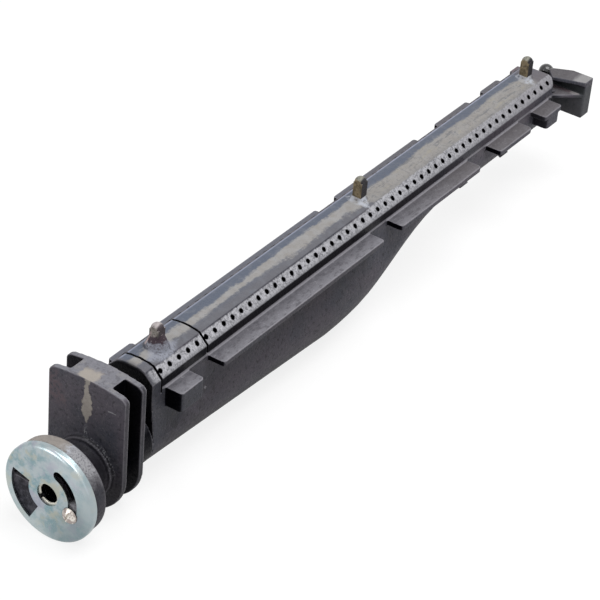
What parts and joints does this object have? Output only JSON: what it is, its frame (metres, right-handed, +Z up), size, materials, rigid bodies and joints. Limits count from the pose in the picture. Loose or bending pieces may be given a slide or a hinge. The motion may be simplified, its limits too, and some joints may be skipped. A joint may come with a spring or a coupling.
{
  "type": "broiler burner",
  "caption": "Cast-iron gas broiler burner: a tapering tube with ported crown, side rests and pegs, a slotted neck that hangs in a bracket, and a rotary air shutter locked by a screw.",
  "frame": {"origin": "centre of the gas inlet bore, on the front face of the mixer", "axes": "+Y along the burner towards the rear foot, +Z up through the crown, +X to the right seen from the mixer"},
  "size_m": [0.0668, 0.5663, 0.0978],
  "materials": {
    "grey_iron": "as cast, charcoal grey",
    "zinc_plate": "zinc-plated pressed steel",
    "nickel_plate": "nickel-plated, semi-bright",
    "peg_steel": "drawn steel with light rust"
  },
  "bodies": {
    "casting": {"mixer_head": "grey_iron", "throat": "grey_iron", "front_flange": "grey_iron", "slot_web": "grey_iron", "rear_flange": "grey_iron", "burner_body": "grey_iron", "port_crown": "grey_iron", "right_rests": "grey_iron", "left_rests": "grey_iron", "rear_foot": "grey_iron", "peg_front": "peg_steel", "peg_middle": "peg_steel", "peg_rear": "peg_steel"},
    "shutter": {"air_shutter": "zinc_plate"},
    "screw": {"shutter_screw": "nickel_plate"}
  },
  "joints": [
    {"name": "shutter_turn", "type": "hinge", "parent": "casting", "child": "shutter", "pos_m": [0, 0, 0], "axis": [0, 1, 0], "range_deg": [0, 88]},
    {"name": "screw_turn", "type": "hinge", "parent": "casting", "child": "screw", "pos_m": [0.01632, 0, -0.00659], "axis": [0, 1, 0], "range_deg": [-360, 0]}
  ]
}
